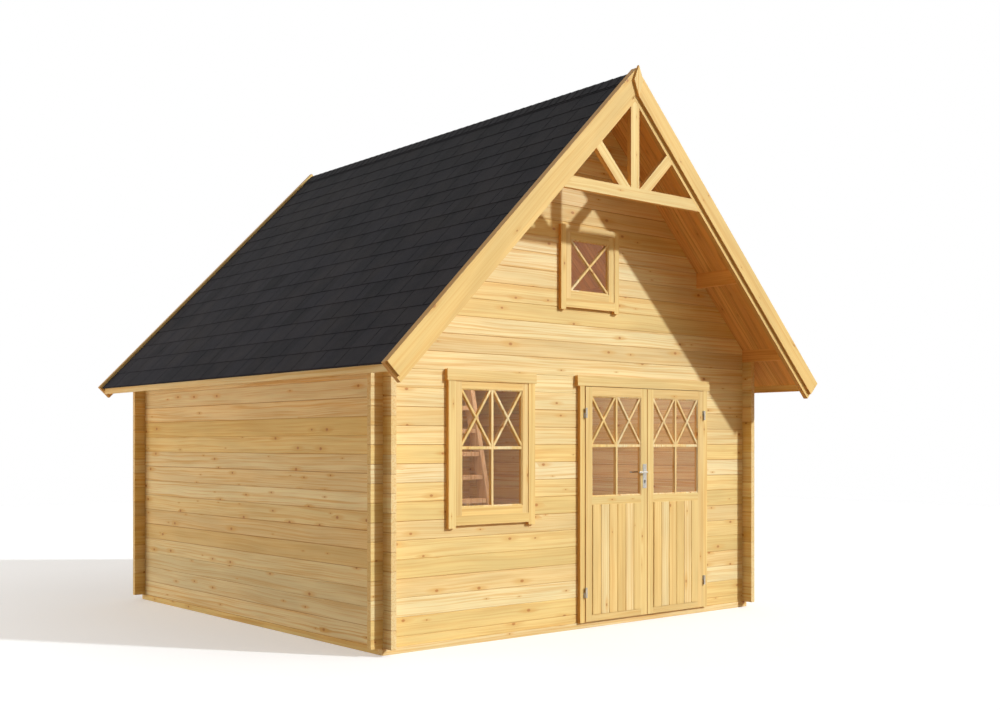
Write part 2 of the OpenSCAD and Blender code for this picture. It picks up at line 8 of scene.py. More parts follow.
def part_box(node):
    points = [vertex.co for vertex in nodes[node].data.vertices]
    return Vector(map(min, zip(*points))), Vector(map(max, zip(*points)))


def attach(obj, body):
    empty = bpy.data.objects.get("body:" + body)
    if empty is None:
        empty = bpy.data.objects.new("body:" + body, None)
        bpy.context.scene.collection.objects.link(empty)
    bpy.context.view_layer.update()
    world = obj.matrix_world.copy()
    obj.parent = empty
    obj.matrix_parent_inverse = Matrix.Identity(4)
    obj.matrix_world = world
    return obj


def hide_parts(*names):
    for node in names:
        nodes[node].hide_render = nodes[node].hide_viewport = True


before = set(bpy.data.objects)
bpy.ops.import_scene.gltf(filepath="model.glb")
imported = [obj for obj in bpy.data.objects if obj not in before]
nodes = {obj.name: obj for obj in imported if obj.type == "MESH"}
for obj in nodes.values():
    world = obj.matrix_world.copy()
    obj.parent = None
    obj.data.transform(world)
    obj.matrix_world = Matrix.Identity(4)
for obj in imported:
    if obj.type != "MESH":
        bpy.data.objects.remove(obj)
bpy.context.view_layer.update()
print("frame loaded,", len(nodes), "CAD nodes")


# ---- measures read from the frame

def boxWhere(node, test):
    # corners of the part of a CAD node whose points pass a test
    points = [v.co for v in nodes[node].data.vertices if test(v.co)]
    return (Vector([min(p[i] for p in points) for i in range(3)]),
            Vector([max(p[i] for p in points) for i in range(3)]))


deckLow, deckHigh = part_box("roof_boards_right")
deckEnd = boxWhere("roof_boards_right", lambda p: p.x > deckHigh.x - 0.001)
pitch = math.atan2(deckHigh.z - deckEnd[1].z, deckHigh.x)
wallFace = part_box("left_wall")[0].x
bandLow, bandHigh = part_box("front_wall_top")
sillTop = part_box("side_sills")[1].z
courseHeight = (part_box("front_gable")[0].z - bandLow.z) / 2
mainPane = boxWhere("window_panes", lambda p: p.z < bandHigh.z)
loftPane = boxWhere("window_panes", lambda p: p.z > bandHigh.z)
mainSash = boxWhere("window_sashes", lambda p: p.z < bandHigh.z)
loftSash = boxWhere("window_sashes", lambda p: p.z > bandHigh.z)
leaves = {side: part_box(side + "_door_leaf") for side in ("left", "right")}
doorPanes = {side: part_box(side + "_door_pane") for side in ("left", "right")}
doorPanels = {side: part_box(side + "_door_panel") for side in ("left", "right")}
print("course height", round(courseHeight, 4), "pitch", round(math.degrees(pitch), 2))


# ---- small helpers for shader nodes

def feed(tree, socket, value):
    if isinstance(value, bpy.types.NodeSocket):
        tree.links.new(value, socket)
    elif value is not None:
        socket.default_value = value


def addNode(tree, kind, *values, **settings):
    made = tree.nodes.new("ShaderNode" + kind)
    for key, value in settings.items():
        setattr(made, key, value)
    for place, value in enumerate(values):
        feed(tree, made.inputs[place], value)
    return made


def maths(tree, operation, *values):
    return addNode(tree, "Math", *values, operation=operation).outputs[0]


def vectors(tree, operation, *values):
    made = addNode(tree, "VectorMath", *values, operation=operation)
    return made.outputs[1 if operation in ("LENGTH", "DOT_PRODUCT") else 0]


def joinXyz(tree, *values):
    return addNode(tree, "CombineXYZ", *values).outputs[0]


def splitXyz(tree, vector):
    return addNode(tree, "SeparateXYZ", vector).outputs


def fade(tree, value, start, end, low=0.0, high=1.0):
    made = addNode(tree, "MapRange", value, start, end, low, high)
    made.interpolation_type = "SMOOTHSTEP"
    return made.outputs[0]


def noise(tree, vector, scale, detail=2.0, roughness=0.5, distortion=0.0):
    made = addNode(tree, "TexNoise", vector)
    for name, value in (("Scale", scale), ("Detail", detail), ("Roughness", roughness),
                        ("Distortion", distortion)):
        feed(tree, made.inputs[name], value)
    return made.outputs[0]


def mixed(tree, factor, first, second, blend="MIX"):
    # a Mix node's colours go in at 6 and 7 and come out at 2
    made = addNode(tree, "Mix", data_type="RGBA", blend_type=blend)
    feed(tree, made.inputs[0], factor)
    feed(tree, made.inputs[6], first)
    feed(tree, made.inputs[7], second)
    return made.outputs[2]


def tint(red, green, blue):
    # a screen colour, 0 to 255, as the linear colour that the sockets take
    def linear(value):
        value /= 255
        return value / 12.92 if value <= 0.04045 else ((value + 0.055) / 1.055) ** 2.4
    return (linear(red), linear(green), linear(blue), 1.0)


def newGroup(name, inputs, outputs):
    group = bpy.data.node_groups.new(name, "ShaderNodeTree")
    for label, value in inputs.items():
        kind = "Vector" if value is None else "Color" if isinstance(value, tuple) else "Float"
        socket = group.interface.new_socket(label, in_out="INPUT", socket_type="NodeSocket" + kind)
        if value is not None:
            socket.default_value = value
    for label, kind in outputs.items():
        group.interface.new_socket(label, in_out="OUTPUT", socket_type="NodeSocket" + kind)
    return group, group.nodes.new("NodeGroupInput").outputs, group.nodes.new("NodeGroupOutput").inputs


def useGroup(tree, group, **values):
    made = tree.nodes.new("ShaderNodeGroup")
    made.node_tree = group
    for label, value in values.items():
        feed(tree, made.inputs[label], value)
    return made.outputs


# ---- shared effects

# scales of the figure are along the grain, across it and into the board, each per metre
spruceLook = {
    "boardShift": (23.0, 3.0, 7.0), "sway": (1.1, 2.0, 1.0), "swayReach": 0.05, "knotBend": 0.8,
    "broad": (0.7, 44.0, 44.0), "narrow": (0.9, 95.0, 95.0), "blotch": (1.3, 7.0, 7.0),
    "streakLow": 0.3, "streakHigh": 0.72, "lines": 0.5, "halo": 0.6, "knot": 0.85,
    "endShare": 0.55, "endPale": tint(240, 212, 152), "endDark": tint(226, 188, 120),
    "jointShade": tint(176, 112, 48), "smooth": 0.55, "rough": 0.68, "knotPolish": 0.15,
    "knotRelief": 0.6}
knotLook = {"small": 0.45, "large": 1.6, "stretch": 0.62, "haloStretch": 0.26}


def makeBoardCut():
    # cuts a surface into boards side by side along Y and gives each its own figure
    tree, given, out = newGroup(
        "boardCut", {"Vector": None, "Width": 0.135, "Start": 0.0, "Seed": 0.0},
        {"Vector": "Vector", "Random": "Vector", "Edge": "Float"})
    y = splitXyz(tree, given["Vector"])[1]
    steps = maths(tree, "DIVIDE", maths(tree, "SUBTRACT", y, given["Start"]), given["Width"])
    board = maths(tree, "FLOOR", steps)
    across = maths(tree, "SUBTRACT", steps, board)
    nearest = maths(tree, "MINIMUM", across, maths(tree, "SUBTRACT", 1.0, across))
    feed(tree, out["Edge"], maths(tree, "MULTIPLY", nearest, given["Width"]))
    key = joinXyz(tree, board, given["Seed"], 0.5)
    random = addNode(tree, "TexWhiteNoise", key, noise_dimensions="3D").outputs["Color"]
    feed(tree, out["Random"], random)
    shift = vectors(tree, "MULTIPLY", random, spruceLook["boardShift"])
    feed(tree, out["Vector"], vectors(tree, "ADD", given["Vector"], shift))
    return tree


def makeKnots():
    # oval knots scattered along the grain, with a long halo that bends the figure round them
    tree, given, out = newGroup(
        "knots", {"Vector": None, "Spacing": 0.37, "Row": 0.10, "Size": 0.0085, "Share": 0.5},
        {"Knot": "Float", "Halo": "Float", "Offset": "Float"})
    x, y, z = splitXyz(tree, given["Vector"])
    flat = joinXyz(tree, maths(tree, "DIVIDE", x, given["Spacing"]),
                   maths(tree, "DIVIDE", maths(tree, "ADD", y, z), given["Row"]), 0.0)
    cells = addNode(tree, "TexVoronoi", flat, voronoi_dimensions="2D", feature="F1")
    cells.inputs["Scale"].default_value = 1.0
    away = vectors(tree, "SUBTRACT", flat, cells.outputs["Position"])
    awayX, awayY, _ = splitXyz(tree, away)
    awayX = maths(tree, "MULTIPLY", awayX, given["Spacing"])
    awayY = maths(tree, "MULTIPLY", awayY, given["Row"])
    firstRandom, secondRandom, _ = splitXyz(tree, cells.outputs["Color"])
    radius = maths(tree, "MULTIPLY", given["Size"],
                   fade(tree, firstRandom, 0.0, 1.0, knotLook["small"], knotLook["large"]))
    there = maths(tree, "LESS_THAN", secondRandom, given["Share"])

    def farness(stretch):
        # distance from the knot's middle in radii, shortened along the grain
        flatAway = joinXyz(tree, maths(tree, "MULTIPLY", awayX, stretch), awayY, 0.0)
        return maths(tree, "DIVIDE", vectors(tree, "LENGTH", flatAway), radius)

    knot = fade(tree, farness(knotLook["stretch"]), 1.25, 0.45)
    halo = fade(tree, farness(knotLook["haloStretch"]), 3.0, 0.5)
    feed(tree, out["Knot"], maths(tree, "MULTIPLY", knot, there))
    halo = maths(tree, "MULTIPLY", halo, there)
    feed(tree, out["Halo"], halo)
    feed(tree, out["Offset"], maths(tree, "MULTIPLY", halo, awayY))
    return tree


def makeSpruce(boardCut, knots):
    # planed spruce: grain along X of the vector, boards side by side along its Y
    look = spruceLook
    tree, given, out = newGroup(
        "planedSpruce",
        {"Vector": None, "Normal": None, "Width": 0.135, "Start": 0.0, "Seed": 0.0, "Joint": 0.0,
         "Knot Share": 0.46, "Knot Size": 0.008, "Contrast": 1.0,
         "Pale": tint(247, 231, 180), "Honey": tint(242, 213, 139), "Rose": tint(243, 214, 156),
         "Late Wood": tint(225, 177, 98), "Knot Colour": tint(186, 122, 58),
         "Edge Shade Share": 0.0, "Edge Shade Tone": tint(222, 146, 62)},
        {"Color": "Color", "Roughness": "Float", "Height": "Float"})
    board = useGroup(tree, boardCut, Vector=given["Vector"], Width=given["Width"],
                     Start=given["Start"], Seed=given["Seed"])
    firstRandom, secondRandom, thirdRandom = splitXyz(tree, board["Random"])
    spots = useGroup(tree, knots, Vector=board["Vector"], Size=given["Knot Size"],
                     Share=given["Knot Share"])
    x, y, z = splitXyz(tree, board["Vector"])

    def figure(height, scales, *shape):
        place = vectors(tree, "MULTIPLY", joinXyz(tree, x, height, z), scales)
        return noise(tree, place, 1.0, *shape)

    sway = figure(y, look["sway"], 1.0)
    sway = maths(tree, "MULTIPLY", maths(tree, "SUBTRACT", sway, 0.5), look["swayReach"])
    bentY = maths(tree, "SUBTRACT", maths(tree, "ADD", y, sway),
                  maths(tree, "MULTIPLY", spots["Offset"], look["knotBend"]))
    broad = figure(bentY, look["broad"], 3.0, 0.66, 0.1)
    narrow = figure(bentY, look["narrow"], 3.0, 0.65)
    blotch = figure(y, look["blotch"], 2.0)
    body = mixed(tree, fade(tree, firstRandom, 0.2, 0.8), given["Pale"], given["Honey"])
    body = mixed(tree, fade(tree, secondRandom, 0.45, 1.0, 0.0, 0.75), body, given["Rose"])
    strength = fade(tree, thirdRandom, 0.1, 0.9, look["streakLow"], look["streakHigh"])
    streak = maths(tree, "MULTIPLY", fade(tree, broad, 0.45, 0.68),
                   maths(tree, "MULTIPLY", given["Contrast"], strength))
    body = mixed(tree, streak, body, given["Late Wood"])
    lines = maths(tree, "MULTIPLY", fade(tree, narrow, 0.45, 0.66),
                  maths(tree, "MULTIPLY", given["Contrast"], look["lines"]))
    body = mixed(tree, lines, body, given["Late Wood"])
    light = fade(tree, blotch, 0.3, 0.7, 0.93, 1.05)
    light = maths(tree, "MULTIPLY", light, fade(tree, thirdRandom, 0.0, 1.0, 0.93, 1.04))
    body = mixed(tree, 1.0, body, joinXyz(tree, light, light, light), "MULTIPLY")
    halo = maths(tree, "MULTIPLY", spots["Halo"], look["halo"])
    body = mixed(tree, halo, body, given["Late Wood"])
    knot = maths(tree, "MULTIPLY", spots["Knot"], look["knot"])
    body = mixed(tree, knot, body, given["Knot Colour"])
    endwise, edgewise = [maths(tree, "ABSOLUTE", part) for part in splitXyz(tree, given["Normal"])[:2]]
    # painted shade: narrow sides and sawn ends are mixed toward a darker, more orange edge colour, as
    # faces turned from the light look
    narrowSideShade = maths(tree, "MULTIPLY", fade(tree, edgewise, 0.6, 0.85), given["Edge Shade Share"])
    body = mixed(tree, narrowSideShade, body, given["Edge Shade Tone"])
    sawn = fade(tree, endwise, 0.6, 0.85)
    sawnEndShade = maths(tree, "MULTIPLY", sawn, given["Edge Shade Share"])
    body = mixed(tree, sawnEndShade, body, given["Edge Shade Tone"])
    endGrain = mixed(tree, fade(tree, narrow, 0.3, 0.7), look["endPale"], look["endDark"])
    endShare = maths(tree, "MULTIPLY", sawn,
                     maths(tree, "SUBTRACT", look["endShare"], given["Edge Shade Share"]))
    body = mixed(tree, maths(tree, "MAXIMUM", endShare, 0.0), body, endGrain)
    # painted shade: a dark line in the gap along each board's edge, stronger on some boards than others
    gap = fade(tree, board["Edge"], given["Joint"], maths(tree, "MULTIPLY", given["Joint"], 0.35))
    jointShadeStrength = maths(tree, "MULTIPLY", fade(tree, blotch, 0.35, 0.65, 0.5, 1.0),
                 fade(tree, secondRandom, 0.1, 0.8, 0.15, 0.85))
    body = mixed(tree, maths(tree, "MULTIPLY", gap, jointShadeStrength), body, look["jointShade"])
    feed(tree, out["Color"], body)
    rough = fade(tree, narrow, 0.3, 0.7, look["smooth"], look["rough"])
    polish = maths(tree, "MULTIPLY", spots["Knot"], look["knotPolish"])
    feed(tree, out["Roughness"], maths(tree, "SUBTRACT", rough, polish))
    relief = maths(tree, "ADD", maths(tree, "MULTIPLY", narrow, 0.5),
                   maths(tree, "MULTIPLY", broad, 0.5))
    raised = maths(tree, "MULTIPLY", spots["Knot"], look["knotRelief"])
    feed(tree, out["Height"], maths(tree, "ADD", relief, raised))
    return tree


boardCut = makeBoardCut()
knots = makeKnots()
spruce = makeSpruce(boardCut, knots)
print("shader groups made")


# ---- materials

def newMaterial(name):
    material = bpy.data.materials.new(name)
    material.use_nodes = True
    tree = material.node_tree
    shader = tree.nodes["Principled BSDF"]
    return material, tree, shader


def turned(tree, vector, grain, slanted=True):
    # swaps the axes so that the grain runs along X and boards lie side by side along Y
    x, y, z = splitXyz(tree, vector)
    if grain == "x":
        return joinXyz(tree, x, z, y)
    if grain == "y":
        return joinXyz(tree, y, z, x)
    if grain == "z":
        return joinXyz(tree, z, x, y)
    if slanted:
        x = maths(tree, "ABSOLUTE", x)
    place = joinXyz(tree, x, y, z)
    rising = vectors(tree, "DOT_PRODUCT", place, (math.sin(pitch), 0, math.cos(pitch)))
    falling = vectors(tree, "DOT_PRODUCT", place, (math.cos(pitch), 0, -math.sin(pitch)))
    orders = {"fallBoards": (falling, y, rising), "fall": (falling, rising, y),
              "rise": (rising, falling, y)}
    return joinXyz(tree, *orders[grain])


def sideOf(tree, vector):
    # -1 on the left of the house and 1 on the right
    return maths(tree, "SIGN", splitXyz(tree, vector)[0])


def inside(tree, vector, span):
    # 1 where x and z lie in a span (x low, x high, z low, z high)
    x, y, z = splitXyz(tree, vector)
    tests = [maths(tree, "GREATER_THAN", x, span[0]), maths(tree, "LESS_THAN", x, span[1]),
             maths(tree, "GREATER_THAN", z, span[2]), maths(tree, "LESS_THAN", z, span[3])]
    product = tests[0]
    for test in tests[1:]:
        product = maths(tree, "MULTIPLY", product, test)
    return product


def blended(tree, share, first, second):
    # a Mix node's vectors go in at 4 and 5 and come out at 1
    made = addNode(tree, "Mix", data_type="VECTOR")
    feed(tree, made.inputs[0], share)
    feed(tree, made.inputs[4], first)
    feed(tree, made.inputs[5], second)
    return made.outputs[1]


def roughen(tree, shader, height, strength, depth):
    bump = addNode(tree, "Bump")
    feed(tree, bump.inputs["Strength"], strength)
    feed(tree, bump.inputs["Distance"], depth)
    feed(tree, bump.inputs["Height"], height)
    feed(tree, shader.inputs["Normal"], bump.outputs[0])


woodLook = {"sideShift": 5.3, "bump": 0.35, "bumpDepth": 0.0012, "specular": 0.35}


def woodMaterial(name, grain, rails=(), bothSides=True, **settings):
    # rails are spans whose grain runs along x; bothSides gives left and right their own figure
    material, tree, shader = newMaterial(name)
    place = addNode(tree, "TexCoord").outputs
    along = turned(tree, place["Object"], grain)
    facing = turned(tree, place["Normal"], grain, slanted=False)
    for span in rails:
        share = inside(tree, place["Object"], span)
        along = blended(tree, share, along, turned(tree, place["Object"], "x"))
        facing = blended(tree, share, facing, turned(tree, place["Normal"], "x"))
    if bothSides:
        shift = maths(tree, "MULTIPLY", sideOf(tree, place["Object"]), woodLook["sideShift"])
        along = vectors(tree, "ADD", along, joinXyz(tree, shift, 0.0, 0.0))
    made = useGroup(tree, spruce, Vector=along, Normal=facing, **settings)
    feed(tree, shader.inputs["Base Color"], made["Color"])
    feed(tree, shader.inputs["Roughness"], made["Roughness"])
    roughen(tree, shader, made["Height"], woodLook["bump"], woodLook["bumpDepth"])
    shader.inputs["Specular IOR Level"].default_value = woodLook["specular"]
    return material


def dress(material, *names):
    for name in names:
        for slot in nodes[name].material_slots:
            slot.material = material


farStart = -20.0  # well left of the house and below it, where counting of boards starts
plankLook = {"Width": courseHeight, "Joint": 0.0036}
singleLook = {"Width": 50.0, "Start": -25.0}  # one board, wider than the house
# trims take painted shade on their narrow sides and ends; the barges take a greyer one
trimTones = {"Pale": tint(244, 217, 146), "Honey": tint(242, 210, 134), "Rose": tint(242, 209, 142),
             "Late Wood": tint(222, 172, 90), "Knot Share": 0.3, "Knot Size": 0.0065, "Edge Shade Share": 0.5}
bargeTones = dict(trimTones, **{"Pale": tint(236, 207, 136), "Honey": tint(234, 200, 126),
                                "Rose": tint(234, 199, 132), "Edge Shade Tone": tint(188, 134, 78),
                                "Edge Shade Share": 0.6, "Contrast": 0.75})
eaveTones = dict(trimTones, **{"Pale": tint(247, 226, 172), "Honey": tint(243, 217, 156),
                               "Rose": tint(243, 216, 160), "Edge Shade Share": 0.2})
# painted shade: darker, more orange tones for the purlins, which lie under the roof
shadedPurlinTones = {"Pale": tint(242, 198, 132), "Honey": tint(240, 188, 114), "Rose": tint(240, 190, 122),
               "Late Wood": tint(214, 146, 72)}
ladderTones = {"Pale": tint(226, 198, 156), "Honey": tint(220, 188, 142), "Rose": tint(220, 186, 146),
               "Late Wood": tint(198, 158, 108), "Knot Share": 0.3, "Knot Size": 0.006}

sidePlanks = woodMaterial("sidePlanks", "y", Start=sillTop, Seed=1.0, **plankLook)
crossPlanks = woodMaterial("crossPlanks", "x", bothSides=False, Start=sillTop - courseHeight / 2,
                           Seed=2.0, **plankLook)
shadedPurlinWood = woodMaterial("shadedPurlinWood", "y", Seed=3.0, **singleLook, **shadedPurlinTones)
joistWood = woodMaterial("joistWood", "x", bothSides=False, Width=0.5, Start=farStart, Seed=4.0)
sillWoodAcross = woodMaterial("sillWoodAcross", "x", bothSides=False, Seed=5.0, **singleLook)
sillWoodAlong = woodMaterial("sillWoodAlong", "y", Seed=6.0, **singleLook)
slopeTrim = woodMaterial("slopeTrim", "fall", Seed=7.0, **singleLook, **bargeTones)
strutWood = woodMaterial("strutWood", "rise", Seed=8.0, **singleLook, **trimTones)
uprightTrim = woodMaterial("uprightTrim", "z", bothSides=False, Seed=9.0, **singleLook, **trimTones)
acrossTrim = woodMaterial("acrossTrim", "x", bothSides=False, Seed=10.0, **singleLook, **trimTones)
eaveTrim = woodMaterial("eaveTrim", "y", Seed=11.0, **singleLook, **eaveTones)
ladderWood = woodMaterial("ladderWood", "z", bothSides=False, Seed=20.0, **singleLook, **ladderTones)

# a frame's Width is such that its uprights fall on different boards; its level members lie in
# spans of x low, x high, z low, z high
wide = 9.0  # beyond the house on every side
windowRails = [(mainSash[0].x, mainSash[1].x, -wide, bandHigh.z),
               (loftSash[0].x, loftSash[1].x, bandHigh.z, wide)]
sashRails = [(mainPane[0].x, mainPane[1].x, -wide, bandHigh.z),
             (loftPane[0].x, loftPane[1].x, bandHigh.z, wide)]
leafRails = [(doorPanes[side][0].x, doorPanes[side][1].x, -wide, wide) for side in ("left", "right")]
doorRails = [(leaves["left"][0].x, leaves["right"][1].x, -wide, wide)]
frameWood = woodMaterial("frameWood", "z", windowRails, bothSides=False, Width=0.36, Start=farStart,
                         Seed=12.0, **trimTones)
sashWood = woodMaterial("sashWood", "z", sashRails, bothSides=False, Width=0.33, Start=farStart,
                        Seed=13.0, **trimTones)
leafWood = woodMaterial("leafWood", "z", leafRails, bothSides=False, Width=0.36, Start=farStart,
                        Seed=14.0, **trimTones)
doorFrameWood = woodMaterial("doorFrameWood", "z", doorRails, bothSides=False, Width=0.7,
                             Start=farStart, Seed=15.0, **trimTones)

dress(sidePlanks, "left_wall", "right_wall")
dress(crossPlanks, "rear_wall", "rear_gable", "front_wall_left", "front_wall_right",
      "front_wall_top", "front_gable")
dress(shadedPurlinWood, "eave_purlins", "mid_purlins", "ridge_purlin")
dress(joistWood, "loft_joists")
dress(sillWoodAcross, "end_sills", "floor_joists")
dress(sillWoodAlong, "side_sills")
dress(slopeTrim, "front_barges", "front_inner_barges", "rear_barges", "rear_inner_barges")
dress(strutWood, "truss_struts")
dress(uprightTrim, "king_post", "apex_diamond")
dress(ladderWood, "ladder")
dress(acrossTrim, "tie_beam", "header_boards")
dress(eaveTrim, "eave_boards")
dress(frameWood, "window_frames")
dress(sashWood, "window_sashes")
dress(leafWood, "left_door_leaf", "right_door_leaf")
dress(doorFrameWood, "door_frame")
print("wood materials assigned")


glassLook = {"tint": (0.97, 0.98, 0.97, 1.0), "bending": 1.33}
steelLook = {"brush": (900.0, 900.0, 40.0), "smooth": 0.26, "rough": 0.36, "smudge": 0.06}


def makeGlass():
    # clear glass that lets sunlight straight through
    material, tree, shader = newMaterial("windowGlass")
    shader.inputs["Base Color"].default_value = glassLook["tint"]
    shader.inputs["Roughness"].default_value = 0.0
    shader.inputs["IOR"].default_value = glassLook["bending"]
    shader.inputs["Transmission Weight"].default_value = 1.0
    clear = addNode(tree, "BsdfTransparent", glassLook["tint"])
    rays = addNode(tree, "LightPath").outputs
    choice = addNode(tree, "MixShader", rays["Is Shadow Ray"], shader.outputs[0], clear.outputs[0])
    feed(tree, tree.nodes["Material Output"].inputs["Surface"], choice.outputs[0])
    return material


def makeSteel(name, pale, dull):
    # brushed upright, with smudges
    look = steelLook
    material, tree, shader = newMaterial(name)
    place = addNode(tree, "TexCoord").outputs["Object"]
    brushed = noise(tree, vectors(tree, "MULTIPLY", place, look["brush"]), 1.0, 2.0)
    smudge = noise(tree, place, 60.0, 3.0)
    colour = mixed(tree, fade(tree, smudge, 0.35, 0.7), pale, dull)
    feed(tree, shader.inputs["Base Color"], colour)
    shader.inputs["Metallic"].default_value = 1.0
    rough = maths(tree, "ADD", fade(tree, brushed, 0.3, 0.7, look["smooth"], look["rough"]),
                  fade(tree, smudge, 0.4, 0.7, 0.0, look["smudge"]))
    feed(tree, shader.inputs["Roughness"], rough)
    return material


glass = makeGlass()
steel = makeSteel("satinSteel", tint(196, 190, 180), tint(172, 166, 156))
dress(glass, "window_panes", "left_door_pane", "right_door_pane")
dress(steel, "left_door_hinges", "right_door_hinges", "frame_hinges", "handle_plates", "door_handle")
print("glass and steel assigned")

mineralLook = {
    "dark": tint(17, 16, 20), "pale": tint(32, 31, 36), "patch": tint(34, 31, 31),
    "grain": tint(52, 50, 51), "pit": tint(12, 12, 14), "patchScale": (2.2, 2.2, 2.2),
    "gritScale": 420.0, "courses": 24.0, "bump": 0.5, "bumpDepth": 0.0015, "specular": 0.15}


def makeShingle(name, tabWidth, exposure, startY, startFall, stagger, ridgeLight, eaveLight):
    # mineral-faced bitumen: a tone for each tab, granules, weathered patches, and a painted sheen that
    # makes it paler to the eave
    look = mineralLook
    material, tree, shader = newMaterial(name)
    place = addNode(tree, "TexCoord").outputs["Object"]
    falling, across, _ = splitXyz(tree, turned(tree, place, "fallBoards"))
    course = maths(tree, "DIVIDE", maths(tree, "SUBTRACT", falling, startFall), exposure)
    row = maths(tree, "FLOOR", course)
    odd = maths(tree, "MODULO", maths(tree, "ADD", row, 100.0), 2.0)
    odd = maths(tree, "MULTIPLY", odd, stagger)
    column = maths(tree, "DIVIDE", maths(tree, "SUBTRACT", across, startY), tabWidth)
    column = maths(tree, "FLOOR", maths(tree, "ADD", column, odd))
    key = joinXyz(tree, row, column, sideOf(tree, place))
    random = addNode(tree, "TexWhiteNoise", key, noise_dimensions="3D").outputs
    grit = noise(tree, place, look["gritScale"], 2.0, 0.7)
    patch = noise(tree, vectors(tree, "MULTIPLY", place, look["patchScale"]), 1.0, 5.0, 0.65)
    colour = mixed(tree, random[0], look["dark"], look["pale"])
    colour = mixed(tree, fade(tree, patch, 0.4, 0.65, 0.0, 0.5), colour, look["patch"])
    colour = mixed(tree, fade(tree, grit, 0.55, 0.8, 0.0, 0.4), colour, look["grain"])
    colour = mixed(tree, fade(tree, grit, 0.45, 0.2, 0.0, 0.5), colour, look["pit"])
    # painted sheen: darker at the ridge and paler to the eave, course by course; the patches vary the
    # tone
    light = maths(tree, "MULTIPLY", fade(tree, course, -look["courses"], 0.0, ridgeLight, eaveLight),
                  fade(tree, patch, 0.35, 0.65, 0.8, 1.2))
    colour = mixed(tree, 1.0, colour, joinXyz(tree, light, light, light), "MULTIPLY")
    feed(tree, shader.inputs["Base Color"], colour)
    feed(tree, shader.inputs["Roughness"], fade(tree, grit, 0.3, 0.7, 0.72, 0.9))
    shader.inputs["Specular IOR Level"].default_value = look["specular"]
    roughen(tree, shader, grit, look["bump"], look["bumpDepth"])
    return material


# ---- modelling helpers

def onlySelect(*pieces):
    if bpy.context.object and bpy.context.object.mode != "OBJECT":
        bpy.ops.object.mode_set(mode="OBJECT")
    bpy.ops.object.select_all(action="DESELECT")
    for piece in pieces:
        piece.select_set(True)
    if pieces:
        bpy.context.view_layer.objects.active = pieces[0]


def settle(piece):
    onlySelect(piece)
    bpy.ops.object.transform_apply(location=True, rotation=True, scale=True)
    return piece


def block(name, low, high):
    onlySelect()
    low, high = Vector(low), Vector(high)
    bpy.ops.mesh.primitive_cube_add(size=1, location=(low + high) / 2, scale=high - low)
    piece = bpy.context.object
    piece.name = name
    return settle(piece)


def middleOf(part):
    points = part.verts if hasattr(part, "verts") else [part]
    return sum((v.co for v in points), Vector()) / len(points)


def pick(piece, kind, test):
    # opens edit mode with the parts selected whose middle passes the test
    onlySelect(piece)
    bpy.ops.object.mode_set(mode="EDIT")
    bpy.ops.mesh.select_mode(type=kind)
    bpy.ops.mesh.select_all(action="DESELECT")
    mesh = bmesh.from_edit_mesh(piece.data)
    for part in {"VERT": mesh.verts, "EDGE": mesh.edges, "FACE": mesh.faces}[kind]:
        if test(part):
            part.select_set(True)
    mesh.select_flush_mode()
    bmesh.update_edit_mesh(piece.data)


def leaveEdit():
    bpy.ops.object.mode_set(mode="OBJECT")


def bevelWhere(piece, width, test, segments=1):
    pick(piece, "EDGE", test)
    bpy.ops.mesh.bevel(offset=width, segments=segments, affect="EDGES")
    leaveEdit()
    return piece


def isAlong(edge, axis):
    run = edge.verts[1].co - edge.verts[0].co
    return abs(run[axis]) > 0.9 * run.length


def cut(piece, point, normal):
    # removes what lies on the normal's side of the plane and closes the cut
    pick(piece, "VERT", lambda v: True)
    bpy.ops.mesh.bisect(plane_co=point, plane_no=normal, clear_outer=True, use_fill=True)
    leaveEdit()
    return piece


def repeat(piece, count, step):
    row = piece.modifiers.new("row", "ARRAY")
    row.use_relative_offset = False
    row.use_constant_offset = True
    row.constant_offset_displace = step
    row.count = count
    onlySelect(piece)
    bpy.ops.object.modifier_apply(modifier="row")
    return piece


def copyOf(piece, shift=(0, 0, 0)):
    twin = piece.copy()
    twin.data = piece.data.copy()
    twin.data.transform(Matrix.Translation(shift))
    bpy.context.collection.objects.link(twin)
    return twin


def joined(name, pieces):
    onlySelect(*pieces)
    if len(pieces) > 1:
        bpy.ops.object.join()
    pieces[0].name = name
    return pieces[0]


def mirrored(piece, name):
    twin = copyOf(piece)
    twin.name = name
    twin.scale.x = -1
    settle(twin)
    pick(twin, "FACE", lambda f: True)
    bpy.ops.mesh.normals_make_consistent(inside=False)
    leaveEdit()
    return twin


def finish(piece, body, material, replaced=()):
    piece.data.materials.clear()
    piece.data.materials.append(material)
    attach(piece, body)
    if replaced:
        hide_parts(*replaced)
    return piece


def tiltToSlope(piece, ridge):
    # from flat, with X down the slope and Z out of it, to the right slope below the ridge
    piece.rotation_euler = (0, pitch, 0)
    piece.location = (0, 0, ridge)
    return settle(piece)


# ---- roof covering

roofLow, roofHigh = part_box("shingles_right")
slopeRun = roofHigh.x / math.cos(pitch)

shingles = {
    "tabWidth": 0.292, "exposure": 0.195, "gap": 0.006, "thick": 0.0055, "buttLift": 0.8,
    "headLap": 0.03, "felt": 0.002, "rounding": 0.0012, "eaveInset": 0.004, "lift": 0.004,
    "evenStart": 0.86, "oddStart": 0.5, "feltEdge": 0.001}
# ridgeLight and eaveLight set the painted sheen from ridge to eave; the caps keep one tone
slopeShade = {"stagger": 0.36, "ridgeLight": 0.5, "eaveLight": 1.5}
capShade = {"stagger": 0.0, "ridgeLight": 0.9, "eaveLight": 0.9}


